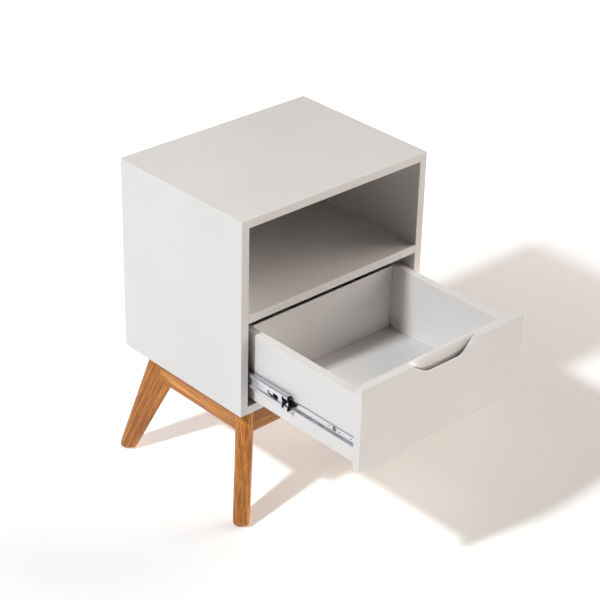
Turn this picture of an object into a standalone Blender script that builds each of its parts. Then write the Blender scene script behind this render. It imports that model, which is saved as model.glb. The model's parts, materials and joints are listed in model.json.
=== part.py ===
"""Bedside cabinet: a lacquered box with an open niche over one drawer, on a splayed wooden base.

Frame: metres, +Z up, +X to the right of someone facing the front, +Y from the front to the back.
The origin is on the floor, under the middle of the object as it stands with its drawer open.
The drawer's parts are placed as if it were shut, under an empty that slides them all out.
"""

import collections
import math

import bmesh
import bpy
from mathutils import Matrix, Vector

# Driving dimensions of the cabinet.
WIDTH = 0.400
DEPTH = 0.300
HEIGHT = 0.560
BASE_HEIGHT = 0.209
BOARD = 0.015
BACK_BOARD = 0.006
SHELF_UNDERSIDE = 0.168
GAP = 0.0003
CORNER_RADIUS = 0.0012
EDGE_BEVEL = 0.0008
REBATE = 0.0075

# Base: four flat tapered legs on the plan's diagonals, joined by four rails.
LEG_THICKNESS = 0.028
LEG_OUTER_TOP = 0.0480
LEG_INNER_TOP = 0.1158
LEG_OUTER_SLOPE = 0.312
LEG_INNER_SLOPE = 0.497
LEG_EDGE_RADIUS = 0.008
FOOT_RADIUS = 0.009
GLIDE_RADIUS = 0.005
GLIDE_HEIGHT = 0.001
RAIL_INSET_SIDE = 0.0335
RAIL_FRONT = 0.030
RAIL_BACK = 0.270
RAIL_HEIGHT = 0.070
RAIL_THICKNESS = 0.020
RAIL_LOWER_RADIUS = 0.012
RAIL_INNER_RADIUS = 0.003

# Drawer, measured from the underside of the carcass where a height is given.
DRAWER_TRAVEL = 0.251
FRONT_WIDTH = 0.360
FRONT_BOTTOM = 0.0165
FRONT_TOP = 0.1635
BOX_HALF_WIDTH = 0.1723
BOX_BACK = 0.288
BOX_BOTTOM = 0.0215
BOX_TOP = 0.1445
DRAWER_BASE = 0.005
BASE_REBATE = 0.008

# Finger recess along the top edge of the drawer front.
NOTCH_DEPTH = 0.0205
NOTCH_CENTRE = -0.003
NOTCH_RUN = 0.035
NOTCH_EASE = 0.06
NOTCH_LIP = 0.0022
NOTCH_SLOT_BACK = 0.0082
NOTCH_COVE_BACK = 0.0143
NOTCH_HALF_FRONT = 0.065
NOTCH_HALF_LIP = 0.069
NOTCH_HALF_BACK = 0.075
NOTCH_SLOT_DEPTH = 0.007
NOTCH_RAISE = 0.001
# The cove behind the slot: shares of the way to its back edge, and of the depth left there.
COVE_SHAPE = [(0.0, 1.0), (0.25, 0.62), (0.6, 0.27)]
NOTCH_STEPS = 20

# Telescopic slides. A depth T is measured from the cabinet side's inner face to the drawer.
SLIDE_HEIGHT = 0.0632
SLIDE_FRONT = 0.017
SLIDE_LENGTH = 0.250
SHEET = 0.001
CAGE_SHEET = 0.0004
CABINET_FLANGE_T = 0.0105
MIDDLE_FLANGE_T = 0.0093
CABINET_MEMBER_T = 0.0003
OUTER_CAGE_T = 0.0016
MIDDLE_MEMBER_T = 0.0023
INNER_CAGE_T = 0.0036
DRAWER_MEMBER_T = 0.0124
DRAWER_FLANGE_T = 0.0069
CABINET_MEMBER_HALF = 0.0175
MIDDLE_MEMBER_HALF = 0.013
DRAWER_MEMBER_HALF = 0.0095
MIDDLE_FRONT = 0.0345
MIDDLE_LENGTH = 0.230
CAGE_LENGTH = 0.060
OUTER_CAGE_FRONT = 0.12275
INNER_CAGE_FRONT = 0.11825
BALLS_PER_ROW = 3
CAGE_ARM_SHARE = 0.7
CAGE_BALL_BACK = 0.0001
OUTER_ROW_T = 0.0060
INNER_ROW_T = 0.0081
OUTER_BALL_RADIUS = 0.0014
INNER_BALL_RADIUS = 0.00095
END_STOP_LENGTH = 0.0045
LEVER_PIVOT = 0.169
LEVER_THICKNESS = 0.003
LEVER_T = 0.0088

# The lever's outline ahead of its pivot: the waist, the ears and the tip of the nose.
LEVER_HUB_RADIUS = 0.0045
LEVER_UPPER_EDGE = [(-0.006, 0.0030), (-0.013, 0.0060), (-0.026, 0.0004)]

# Fasteners.
Screw = collections.namedtuple("Screw", "head_radius head_height shank_radius shank_length")
SLIDE_SCREW = Screw(0.0033, 0.0016, 0.00175, 0.012)
COUNTERSUNK_SCREW = Screw(0.0039, 0.0010, 0.00175, 0.011)
BASE_SCREW = Screw(0.0040, 0.0025, 0.0020, 0.035)
BACK_SCREW = Screw(0.0030, 0.0012, 0.00125, 0.014)
SCREW_TIP = 0.002
HEAD_EASE = 0.0004
PILOT_CLEARANCE = 0.0003
DRILL_START = 0.001
BACK_SCREW_INSET = 0.060
CABINET_SCREW_SPOTS = {"front": 0.028, "rear": 0.250}
DRAWER_SCREW_SPOTS = {"front": 0.062, "rear": 0.244}
BASE_SCREW_X = 0.090
COUNTERBORE_RADIUS = 0.005
COUNTERBORE_DEPTH = 0.045
DOWEL_RADIUS = 0.003
DOWEL_LENGTH = 0.030
DOWEL_IN_FRONT = 0.010
DOWEL_HEIGHTS = {"lower": 0.045, "upper": 0.120}
ROUND_SEGMENTS = 12

HALF_WIDTH = WIDTH / 2
INNER_HALF = HALF_WIDTH - BOARD
CARCASS_HEIGHT = HEIGHT - BASE_HEIGHT
SIDES = {"left": -1, "right": 1}


def clear_scene():
    for obj in list(bpy.data.objects):
        bpy.data.objects.remove(obj, do_unlink=True)


def make_material(name, colour, roughness, metallic=0.0):
    material = bpy.data.materials.new(name)
    material.use_nodes = True
    shader = material.node_tree.nodes["Principled BSDF"]
    shader.inputs["Base Color"].default_value = (*colour, 1.0)
    shader.inputs["Roughness"].default_value = roughness
    shader.inputs["Metallic"].default_value = metallic
    return material


def make_object(name, bm, material, parent, location=(0, 0, 0), smooth=False):
    """Turn a bmesh into a named object under a parent, with its faces pointing out."""
    bmesh.ops.recalc_face_normals(bm, faces=bm.faces[:])
    mesh = bpy.data.meshes.new(name)
    bm.to_mesh(mesh)
    bm.free()
    if smooth:
        mesh.shade_smooth()
        mesh.set_sharp_from_angle(angle=math.radians(35))
    obj = bpy.data.objects.new(name, mesh)
    bpy.context.scene.collection.objects.link(obj)
    obj.parent = parent
    obj.location = location
    if material is not None:
        mesh.materials.append(material)
    return obj


def make_empty(name, location, parent=None):
    empty = bpy.data.objects.new(name, None)
    bpy.context.scene.collection.objects.link(empty)
    empty.parent = parent
    empty.location = location
    return empty


def as_cutter(obj):
    obj.hide_render = True
    obj.display_type = "WIRE"
    return obj


def add_boolean(obj, other, operation="DIFFERENCE"):
    modifier = obj.modifiers.new(other.name, "BOOLEAN")
    modifier.operation = operation
    modifier.object = other


def loft(rings):
    """A bmesh through equal rings of points, with flat ends."""
    bm = bmesh.new()
    loops = [[bm.verts.new(point) for point in ring] for ring in rings]
    for first, second in zip(loops, loops[1:]):
        for index, vertex in enumerate(first):
            following = (index + 1) % len(first)
            bm.faces.new((vertex, first[following], second[following], second[index]))
    bm.faces.new(loops[0])
    bm.faces.new(loops[-1])
    return bm


def box_mesh(low, high):
    ring = [(low[0], low[1]), (high[0], low[1]), (high[0], high[1]), (low[0], high[1])]
    return loft([[(x, y, z) for x, y in ring] for z in (low[2], high[2])])


def board(name, low, high, material, parent, bevel=EDGE_BEVEL):
    """A rectangular board with slightly eased edges."""
    bm = box_mesh(low, high)
    bmesh.ops.bevel(bm, geom=bm.edges[:], offset=bevel, segments=1, affect="EDGES")
    return make_object(name, bm, material, parent)


def prism_along_y(outline, start, end):
    return loft([[(x, y, z) for x, z in outline] for y in (start, end)])


def arc(centre, radius, start, end, steps):
    """Points on an arc, angles in degrees."""
    points = []
    for step in range(steps + 1):
        angle = math.radians(start + (end - start) * step / steps)
        points.append((centre[0] + radius * math.cos(angle), centre[1] + radius * math.sin(angle)))
    return points


def turned(profile, segments=ROUND_SEGMENTS):
    """A bmesh turned about Z from (radius, height) points whose first and last lie on the axis."""
    bm = bmesh.new()
    first = bm.verts.new((0, 0, profile[0][1]))
    last = bm.verts.new((0, 0, profile[-1][1]))
    rings = []
    for radius, height in profile[1:-1]:
        ring = []
        for index in range(segments):
            angle = 2 * math.pi * index / segments
            ring.append(bm.verts.new((radius * math.cos(angle), radius * math.sin(angle), height)))
        rings.append(ring)
    for index in range(segments):
        following = (index + 1) % segments
        bm.faces.new((first, rings[0][index], rings[0][following]))
        bm.faces.new((last, rings[-1][following], rings[-1][index]))
        for upper, lower in zip(rings, rings[1:]):
            bm.faces.new((upper[index], lower[index], lower[following], upper[following]))
    return bm


def rotated_to(bm, direction):
    """Turn a mesh made along -Z so that it points along the direction."""
    turn = Vector((0, 0, -1)).rotation_difference(Vector(direction))
    bmesh.ops.rotate(bm, verts=bm.verts[:], cent=(0, 0, 0), matrix=turn.to_matrix())
    return bm


def hole_cutter(name, radius, start, end, parent):
    """A round cutter from start to end, used for one Boolean."""
    axis = Vector(end) - Vector(start)
    bm = turned([(0, 0), (radius, 0), (radius, -axis.length), (0, -axis.length)])
    return as_cutter(make_object(name, rotated_to(bm, axis), None, parent, start))


def screw(name, size, seat, direction, material, parent):
    """A screw whose head's underside is at the seat, and whose shank runs along the direction."""
    profile = [
        (0, size.head_height),
        (size.head_radius - HEAD_EASE, size.head_height),
        (size.head_radius, size.head_height - HEAD_EASE),
        (size.head_radius, 0),
        (size.shank_radius, 0),
        (size.shank_radius, SCREW_TIP - size.shank_length),
        (0, -size.shank_length),
    ]
    bm = rotated_to(turned(profile), direction)
    return make_object(name, bm, material, parent, seat, smooth=True)


def drill(target, name, radius, mouth, direction, depth, parent):
    """Drill a blind hole into the target, starting a little outside its mouth."""
    start = Vector(mouth) - Vector(direction) * DRILL_START
    end = Vector(mouth) + Vector(direction) * depth
    add_boolean(target, hole_cutter(name, radius, start, end, parent))


def mitred_outline(thickness):
    """One side of the carcass, standing at x = 0, with half of each rounded corner."""
    height = CARCASS_HEIGHT
    radius = CORNER_RADIUS
    low_corner = arc((radius, radius), radius, 225, 180, 2)
    high_corner = arc((radius, height - radius), radius, 180, 135, 2)
    inner = [(thickness, height - thickness), (thickness, thickness)]
    return low_corner + high_corner + inner


def add_carcass(materials, root):
    lacquer = materials["lacquer"]
    bottom = BASE_HEIGHT
    mitre_gap = GAP / math.sqrt(2)
    rebate_cutter = as_cutter(
        make_object(
            "back_rebate_cutter",
            box_mesh(
                (-INNER_HALF - REBATE, DEPTH - BACK_BOARD, bottom + BOARD - REBATE),
                (INNER_HALF + REBATE, DEPTH + GAP, HEIGHT - BOARD + REBATE),
            ),
            None,
            root,
        )
    )
    panels = {}
    for side, sign in SIDES.items():
        outline = []
        for across, up in mitred_outline(BOARD):
            squeeze = mitre_gap if up < CARCASS_HEIGHT / 2 else -mitre_gap
            outline.append((sign * (HALF_WIDTH - across), bottom + up + squeeze))
        name = side + "_side_panel"
        panels[name] = make_object(name, prism_along_y(outline, 0, DEPTH), lacquer, root)
    # The top and the bottom repeat the outline turned by a quarter, stretched to the full width.
    stretch = WIDTH - CARCASS_HEIGHT
    for name, level, sign in (("bottom_panel", bottom, 1), ("top_panel", HEIGHT, -1)):
        outline = []
        for across, up in mitred_outline(BOARD):
            beyond_middle = up > CARCASS_HEIGHT / 2
            along = up + stretch - mitre_gap if beyond_middle else up + mitre_gap
            outline.append((along - HALF_WIDTH, level + sign * across))
        panels[name] = make_object(name, prism_along_y(outline, 0, DEPTH), lacquer, root)
    for panel in panels.values():
        add_boolean(panel, rebate_cutter)
    shelf_x = INNER_HALF - GAP
    panels["middle_shelf"] = board(
        "middle_shelf",
        (-shelf_x, 0, bottom + SHELF_UNDERSIDE),
        (shelf_x, DEPTH - BACK_BOARD - GAP, bottom + SHELF_UNDERSIDE + BOARD),
        lacquer,
        root,
    )
    reach = REBATE - GAP
    panels["back_panel"] = board(
        "back_panel",
        (-INNER_HALF - reach, DEPTH - BACK_BOARD + GAP, bottom + BOARD - reach),
        (INNER_HALF + reach, DEPTH, HEIGHT - BOARD + reach),
        lacquer,
        root,
    )
    for side, sign in SIDES.items():
        for level, start, direction in (("lower", bottom, 1), ("upper", HEIGHT, -1)):
            height = start + direction * BACK_SCREW_INSET
            add_back_screw(side, sign, level, height, panels, materials, root)
    return panels


def add_back_screw(side, sign, level, height, panels, materials, root):
    """One countersunk screw through the back board into a side panel."""
    across = sign * (INNER_HALF + REBATE / 2)
    seat = (across, DEPTH - BACK_SCREW.head_height, height)
    name = f"back_screw_{level}_{side}"
    screw(name, BACK_SCREW, seat, (0, -1, 0), materials["zinc"], root)
    back = panels["back_panel"]
    mouth = (across, DEPTH, height)
    counter = BACK_SCREW.head_height + GAP
    inward = (0, -1, 0)
    drill(back, name + "_counter", BACK_SCREW.head_radius + GAP, mouth, inward, counter, root)
    clearance = BACK_SCREW.shank_radius + PILOT_CLEARANCE
    drill(back, name + "_through", clearance, mouth, inward, BACK_BOARD + GAP, root)
    side_panel = panels[side + "_side_panel"]
    pilot_mouth = (across, DEPTH - BACK_BOARD, height)
    pilot = BACK_SCREW.shank_length
    drill(side_panel, name + "_pilot", clearance, pilot_mouth, inward, pilot, root)


def leg_outline():
    """The leg's flat shape: distance inwards along the diagonal, and height below the carcass."""
    foot = GLIDE_HEIGHT + GAP - BASE_HEIGHT
    top = -GAP
    outer_foot = LEG_OUTER_TOP + LEG_OUTER_SLOPE * foot
    inner_foot = LEG_INNER_TOP + LEG_INNER_SLOPE * foot
    outer_lean = math.degrees(math.atan(LEG_OUTER_SLOPE))
    inner_lean = math.degrees(math.atan(LEG_INNER_SLOPE))
    # Each foot corner is an arc that touches the flat foot and the leaning edge.
    outer_reach = FOOT_RADIUS * (math.hypot(1, LEG_OUTER_SLOPE) + LEG_OUTER_SLOPE)
    inner_reach = FOOT_RADIUS * (math.hypot(1, LEG_INNER_SLOPE) - LEG_INNER_SLOPE)
    outer_centre = (outer_foot + outer_reach, foot + FOOT_RADIUS)
    inner_centre = (inner_foot - inner_reach, foot + FOOT_RADIUS)
    outline = [(LEG_OUTER_TOP, top)]
    outline += arc(outer_centre, FOOT_RADIUS, 180 - outer_lean, 270, 4)
    outline += arc(inner_centre, FOOT_RADIUS, 270, 360 - inner_lean, 3)
    outline.append((LEG_INNER_TOP, top))
    return outline


def add_base(materials, panels, root):
    wood = materials["wood"]
    plan_middle = (RAIL_FRONT + RAIL_BACK) / 2
    outline = leg_outline()
    half = LEG_THICKNESS / 2
    foot_middle = sum(s for s, z in outline if z < min(z for s, z in outline) + GAP) / 2
    corner_inset = (RAIL_INSET_SIDE + RAIL_FRONT) / math.sqrt(2)
    for side, sign in SIDES.items():
        for end, y_sign, rail_y in (("front", -1, RAIL_FRONT), ("rear", 1, RAIL_BACK)):
            bm = loft([[(s, across, z) for s, z in outline] for across in (-half, half)])
            top = max(vertex.co.z for vertex in bm.verts)
            rim = [
                edge
                for edge in bm.edges
                if abs(edge.verts[0].co.y - edge.verts[1].co.y) < GAP
                and min(vertex.co.z for vertex in edge.verts) < top - GAP
            ]
            bmesh.ops.bevel(
                bm, geom=rim, offset=LEG_EDGE_RADIUS, segments=3, profile=0.5, affect="EDGES"
            )
            # The leg's plane passes through the outer corner of the rails, at 45 degrees.
            corner = Vector((sign * (HALF_WIDTH - RAIL_INSET_SIDE), rail_y, BASE_HEIGHT))
            inward = Vector((-sign, -y_sign, 0)).normalized()
            start = corner - inward * corner_inset
            across = Vector((0, 0, 1)).cross(inward)
            frame = Matrix((inward, across, Vector((0, 0, 1)))).transposed()
            bmesh.ops.transform(bm, matrix=frame.to_4x4(), verts=bm.verts[:])
            make_object(f"{end}_{side}_leg", bm, wood, root, start, smooth=True)
            glide_place = start + inward * foot_middle
            glide_place.z = 0
            ease = GLIDE_HEIGHT / 3
            glide_profile = [
                (0, GLIDE_HEIGHT),
                (GLIDE_RADIUS - ease, GLIDE_HEIGHT),
                (GLIDE_RADIUS, GLIDE_HEIGHT - ease),
                (GLIDE_RADIUS, ease),
                (GLIDE_RADIUS - ease, 0),
                (0, 0),
            ]
            glide = turned(glide_profile)
            name = f"{end}_{side}_glide"
            make_object(name, glide, materials["glide"], root, glide_place, smooth=True)
    add_rails(materials, panels, plan_middle, root)


def rail_section():
    """Rail section: distance in from its outer face, and height below the carcass."""
    low = -RAIL_HEIGHT
    outer = RAIL_LOWER_RADIUS
    inner = RAIL_INNER_RADIUS
    section = [(0, -GAP)]
    section += arc((outer, low + outer), outer, 180, 270, 5)
    section += arc((RAIL_THICKNESS - inner, low + inner), inner, 270, 360, 2)
    section.append((RAIL_THICKNESS, -GAP))
    return section


def add_rails(materials, panels, plan_middle, root):
    """Four rails, mitred at 45 degrees to meet the flat faces of the legs."""
    leg_reach = LEG_THICKNESS / math.sqrt(2) + GAP * math.sqrt(2)
    half_width = HALF_WIDTH - RAIL_INSET_SIDE
    half_depth = (RAIL_BACK - RAIL_FRONT) / 2
    section = rail_section()
    plans = (
        ("front_rail", (0, -1), half_depth, half_width),
        ("back_rail", (0, 1), half_depth, half_width),
        ("left_rail", (-1, 0), half_width, half_depth),
        ("right_rail", (1, 0), half_width, half_depth),
    )
    rails = {}
    for name, outward, distance, half_length in plans:
        rings = []
        for end in (-1, 1):
            ring = []
            for inset, z in section:
                reach = end * (half_length - leg_reach - inset)
                away = distance - inset
                x = outward[0] * away + outward[1] * reach
                y = outward[1] * away - outward[0] * reach
                ring.append((x, y + plan_middle, z + BASE_HEIGHT))
            rings.append(ring)
        rails[name] = make_object(name, loft(rings), materials["wood"], root, smooth=True)
    for place, rail, y in (
        ("front", rails["front_rail"], RAIL_FRONT + RAIL_THICKNESS / 2),
        ("back", rails["back_rail"], RAIL_BACK - RAIL_THICKNESS / 2),
    ):
        for side, sign in SIDES.items():
            add_base_screw(f"base_screw_{place}_{side}", sign, y, rail, panels, materials, root)


def add_base_screw(name, sign, y, rail, panels, materials, root):
    """One screw up through a counterbored rail into the bottom panel."""
    up = (0, 0, 1)
    x = sign * BASE_SCREW_X
    rail_bottom = BASE_HEIGHT - RAIL_HEIGHT
    seat = rail_bottom + COUNTERBORE_DEPTH - GAP
    screw(name, BASE_SCREW, (x, y, seat), up, materials["zinc"], root)
    mouth = (x, y, rail_bottom)
    drill(rail, name + "_counter", COUNTERBORE_RADIUS, mouth, up, COUNTERBORE_DEPTH, root)
    clearance = BASE_SCREW.shank_radius + PILOT_CLEARANCE
    drill(rail, name + "_through", clearance, mouth, up, RAIL_HEIGHT + GAP, root)
    pilot = seat + BASE_SCREW.shank_length + GAP - BASE_HEIGHT
    drill(panels["bottom_panel"], name + "_pilot", clearance, (x, y, BASE_HEIGHT), up, pilot, root)


def notch_depth_at(x, half_width):
    """Depth below the top edge: nothing past the half width, then a bowl with an eased rim."""
    along = min(max((half_width - abs(x)) / NOTCH_RUN, 0.0), 1.0)
    eased = along * along * (1 + NOTCH_EASE) / (along + NOTCH_EASE)
    return NOTCH_DEPTH * math.sin(math.pi / 2 * eased) - GAP


def notch_cutter(root):
    """Cuts the notch through the lip, the slot behind it, and the cove up to the back edge."""
    above = 0.001
    top = BASE_HEIGHT + FRONT_TOP
    rings = []
    reach = NOTCH_HALF_BACK + 2 * above
    span = reach - (NOTCH_HALF_FRONT - NOTCH_RUN)
    steps = range(NOTCH_STEPS + 1)
    stations = [span * step / NOTCH_STEPS - reach for step in steps]
    stations += [-x for x in reversed(stations)]
    mouth = NOTCH_COVE_BACK - NOTCH_SLOT_BACK
    for x in stations:
        front = notch_depth_at(x, NOTCH_HALF_FRONT)
        lip = notch_depth_at(x, NOTCH_HALF_LIP)
        back = notch_depth_at(x, NOTCH_HALF_BACK)
        share = max(back, 0) / NOTCH_DEPTH
        slot = lip + NOTCH_SLOT_DEPTH * share
        back -= NOTCH_RAISE * share
        section = [
            (-above, above),
            (-above, -front),
            (0, -front),
            (NOTCH_LIP, -lip),
            (NOTCH_LIP, -slot),
            (NOTCH_SLOT_BACK, -slot),
        ]
        section += [(NOTCH_SLOT_BACK + part * mouth, -left * back) for part, left in COVE_SHAPE]
        section += [(NOTCH_COVE_BACK, GAP), (NOTCH_COVE_BACK, above)]
        rings.append([(NOTCH_CENTRE + x, y, top + z) for y, z in section])
    return as_cutter(make_object("finger_recess_cutter", loft(rings), None, root))


def add_drawer(materials, drawer):
    lacquer = materials["lacquer"]
    base = BASE_HEIGHT
    half_front = FRONT_WIDTH / 2
    inner_half = BOX_HALF_WIDTH - BOARD
    front = board(
        "drawer_front",
        (-half_front, 0, base + FRONT_BOTTOM),
        (half_front, BOARD, base + FRONT_TOP),
        lacquer,
        drawer,
    )
    add_boolean(front, notch_cutter(drawer))
    box_front = BOARD + GAP
    low = base + BOX_BOTTOM
    high = base + BOX_TOP
    step = low + DRAWER_BASE + GAP
    box_sides = {}
    for side, sign in SIDES.items():
        outer = sign * BOX_HALF_WIDTH
        inner = sign * inner_half
        lap = sign * (inner_half + BASE_REBATE)
        outline = [(outer, low), (outer, high), (inner, high), (inner, step), (lap, step), (lap, low)]
        bm = prism_along_y(outline, box_front, BOX_BACK)
        box_sides[side] = make_object(f"drawer_{side}_side", bm, lacquer, drawer)
    board(
        "drawer_back",
        (-inner_half + GAP, BOX_BACK - BOARD, step),
        (inner_half - GAP, BOX_BACK, high),
        lacquer,
        drawer,
    )
    lap = inner_half + BASE_REBATE - GAP
    bottom_high = (lap, BOX_BACK, low + DRAWER_BASE)
    board("drawer_bottom", (-lap, box_front, low), bottom_high, lacquer, drawer)
    for side, sign in SIDES.items():
        for level, height in DOWEL_HEIGHTS.items():
            place = (sign * (BOX_HALF_WIDTH - BOARD / 2), BOARD, base + height)
            name = f"front_dowel_{level}_{side}"
            add_dowel(name, place, front, box_sides[side], materials, drawer)
    return box_sides


def add_dowel(name, place, front, box_side, materials, drawer):
    """A wooden dowel across the joint between the drawer front and a side."""
    start = Vector(place) - Vector((0, DOWEL_IN_FRONT, 0))
    chamfer = 0.001
    profile = [
        (0, 0),
        (DOWEL_RADIUS - chamfer, 0),
        (DOWEL_RADIUS, -chamfer),
        (DOWEL_RADIUS, chamfer - DOWEL_LENGTH),
        (DOWEL_RADIUS - chamfer, -DOWEL_LENGTH),
        (0, -DOWEL_LENGTH),
    ]
    bm = rotated_to(turned(profile), (0, 1, 0))
    make_object(name, bm, materials["dowel"], drawer, start, smooth=True)
    radius = DOWEL_RADIUS + GAP
    drill(front, name + "_front_hole", radius, place, (0, -1, 0), DOWEL_IN_FRONT + GAP, drawer)
    depth = DOWEL_LENGTH - DOWEL_IN_FRONT + GAP
    drill(box_side, name + "_side_hole", radius, place, (0, 1, 0), depth, drawer)


def channel(sign, web_t, flange_t, half_height, sheet=SHEET, web_sheet=SHEET):
    """Outline of a folded sheet channel, from its web's depth to its flanges' depth."""
    inward = 1 if flange_t > web_t else -1
    inner_web = web_t + inward * web_sheet
    outline = [
        (web_t, -half_height),
        (flange_t, -half_height),
        (flange_t, sheet - half_height),
        (inner_web, sheet - half_height),
        (inner_web, half_height - sheet),
        (flange_t, half_height - sheet),
        (flange_t, half_height),
        (web_t, half_height),
    ]
    level = BASE_HEIGHT + SLIDE_HEIGHT
    return [(sign * (INNER_HALF - t), level + z) for t, z in outline]


def add_cage(name, sign, web_t, row_t, row_height, ball_radius, front, material, parent):
    """A ball cage: a thin strip with an arm above and below, each carrying a row of balls."""
    arm = ball_radius * CAGE_ARM_SHARE
    outline = channel(sign, web_t, row_t, row_height + arm / 2, arm, CAGE_SHEET)
    bm = prism_along_y(outline, front, front + CAGE_LENGTH)
    cage = make_object(name, bm, material, parent)
    level = BASE_HEIGHT + SLIDE_HEIGHT
    pitch = CAGE_LENGTH / BALLS_PER_ROW
    ball_t = row_t - ball_radius - CAGE_BALL_BACK
    balls = bmesh.new()
    for z in (level - row_height, level + row_height):
        for index in range(BALLS_PER_ROW):
            y = front + pitch * (index + 0.5)
            place = Matrix.Translation((sign * (INNER_HALF - ball_t), y, z))
            bmesh.ops.create_icosphere(balls, subdivisions=2, radius=ball_radius, matrix=place)
    add_boolean(cage, as_cutter(make_object(name + "_balls", balls, None, parent)), "UNION")


def lever_outline():
    """The release lever from its pivot forwards: a round hub, a waist, two ears and a nose."""
    hub = arc((0, 0), LEVER_HUB_RADIUS, -60, 60, 4)
    lower_edge = [(y, -z) for y, z in reversed(LEVER_UPPER_EDGE)]
    return hub + LEVER_UPPER_EDGE + lower_edge


def add_slide(side, sign, panels, box_sides, bodies, materials):
    """One telescopic slide: three steel members, two ball cages, a stop, a lever and screws."""
    steel = materials["steel"]
    plastic = materials["plastic"]
    root = bodies["root"]
    drawer = bodies["drawer"]
    middle = bodies[side + "_intermediate"]
    end = SLIDE_FRONT + SLIDE_LENGTH

    outline = channel(sign, CABINET_MEMBER_T, CABINET_FLANGE_T, CABINET_MEMBER_HALF)
    bm = prism_along_y(outline, SLIDE_FRONT, end)
    cabinet_member = make_object(f"{side}_slide_cabinet_member", bm, steel, root)
    outline = channel(sign, MIDDLE_MEMBER_T, MIDDLE_FLANGE_T, MIDDLE_MEMBER_HALF)
    bm = prism_along_y(outline, MIDDLE_FRONT, MIDDLE_FRONT + MIDDLE_LENGTH)
    make_object(f"{side}_slide_intermediate_member", bm, steel, middle)
    outline = channel(sign, DRAWER_MEMBER_T, DRAWER_FLANGE_T, DRAWER_MEMBER_HALF)
    bm = prism_along_y(outline, SLIDE_FRONT, end)
    drawer_member = make_object(f"{side}_slide_drawer_member", bm, steel, drawer)

    outer_row = (MIDDLE_MEMBER_HALF + CABINET_MEMBER_HALF - SHEET) / 2
    inner_row = (DRAWER_MEMBER_HALF + MIDDLE_MEMBER_HALF - SHEET) / 2
    add_cage(
        f"{side}_slide_outer_ball_cage",
        sign,
        OUTER_CAGE_T,
        OUTER_ROW_T,
        outer_row,
        OUTER_BALL_RADIUS,
        OUTER_CAGE_FRONT,
        steel,
        bodies[side + "_outer_cage"],
    )
    add_cage(
        f"{side}_slide_inner_ball_cage",
        sign,
        INNER_CAGE_T,
        INNER_ROW_T,
        inner_row,
        INNER_BALL_RADIUS,
        INNER_CAGE_FRONT,
        steel,
        bodies[side + "_inner_cage"],
    )

    arm = MIDDLE_MEMBER_HALF - DRAWER_MEMBER_HALF - 2 * GAP
    web = DRAWER_FLANGE_T - GAP - MIDDLE_MEMBER_T
    outline = channel(sign, MIDDLE_MEMBER_T, MIDDLE_FLANGE_T, MIDDLE_MEMBER_HALF, arm, web)
    bm = prism_along_y(outline, MIDDLE_FRONT - GAP - END_STOP_LENGTH, MIDDLE_FRONT - GAP)
    make_object(f"{side}_slide_end_stop", bm, plastic, middle)

    lever_axis = bodies[side + "_lever"]
    lever_x = sign * LEVER_THICKNESS / 2
    bm = loft([[(x, y, z) for y, z in lever_outline()] for x in (-lever_x, lever_x)])
    make_object(f"{side}_slide_release_lever", bm, plastic, lever_axis)

    add_slide_screws(side, sign, panels, box_sides, cabinet_member, drawer_member, bodies, materials)


def add_slide_screws(
    side, sign, panels, box_sides, cabinet_member, drawer_member, bodies, materials
):
    """Screws that hold the outer member to the cabinet and the inner one to the drawer."""
    root = bodies["root"]
    drawer = bodies["drawer"]
    level = BASE_HEIGHT + SLIDE_HEIGHT
    for place, y in CABINET_SCREW_SPOTS.items():
        outward = (sign, 0, 0)
        name = f"{side}_slide_cabinet_screw_{place}"
        seat = (sign * (INNER_HALF - CABINET_MEMBER_T), y, level)
        screw(name, COUNTERSUNK_SCREW, seat, outward, materials["zinc"], root)
        mouth = (sign * (INNER_HALF - CABINET_MEMBER_T - SHEET), y, level)
        head_hole = COUNTERSUNK_SCREW.head_radius + GAP
        drill(cabinet_member, name + "_web", head_hole, mouth, outward, 2 * SHEET, root)
        panel_mouth = (sign * INNER_HALF, y, level)
        pilot = COUNTERSUNK_SCREW.shank_radius + PILOT_CLEARANCE
        depth = COUNTERSUNK_SCREW.shank_length
        side_panel = panels[side + "_side_panel"]
        drill(side_panel, name + "_pilot", pilot, panel_mouth, outward, depth, root)
    for place, y in DRAWER_SCREW_SPOTS.items():
        inward = (-sign, 0, 0)
        name = f"{side}_slide_drawer_screw_{place}"
        seat = (sign * (INNER_HALF - DRAWER_MEMBER_T + SHEET + GAP), y, level)
        screw(name, SLIDE_SCREW, seat, inward, materials["zinc"], drawer)
        pilot = SLIDE_SCREW.shank_radius + PILOT_CLEARANCE
        drill(drawer_member, name + "_web", pilot, seat, inward, 2 * SHEET, drawer)
        side_mouth = (sign * BOX_HALF_WIDTH, y, level)
        depth = SLIDE_SCREW.shank_length
        drill(box_sides[side], name + "_pilot", pilot, side_mouth, inward, depth, drawer)


def make_bodies(root):
    """One empty for each moving piece, on its joint's axis, with the drawer open at rest."""
    bodies = {"root": root, "drawer": make_empty("drawer_slide", (0, -DRAWER_TRAVEL, 0), root)}
    for side, sign in SIDES.items():
        shares = (("intermediate", 0.5), ("outer_cage", 0.25), ("inner_cage", 0.75))
        for piece, share in shares:
            name = f"{side}_{piece}"
            bodies[name] = make_empty(name + "_slide", (0, -share * DRAWER_TRAVEL, 0), root)
        pivot = (sign * (INNER_HALF - LEVER_T), LEVER_PIVOT, BASE_HEIGHT + SLIDE_HEIGHT)
        bodies[side + "_lever"] = make_empty(side + "_lever_pivot", pivot, bodies["drawer"])
    return bodies


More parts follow.
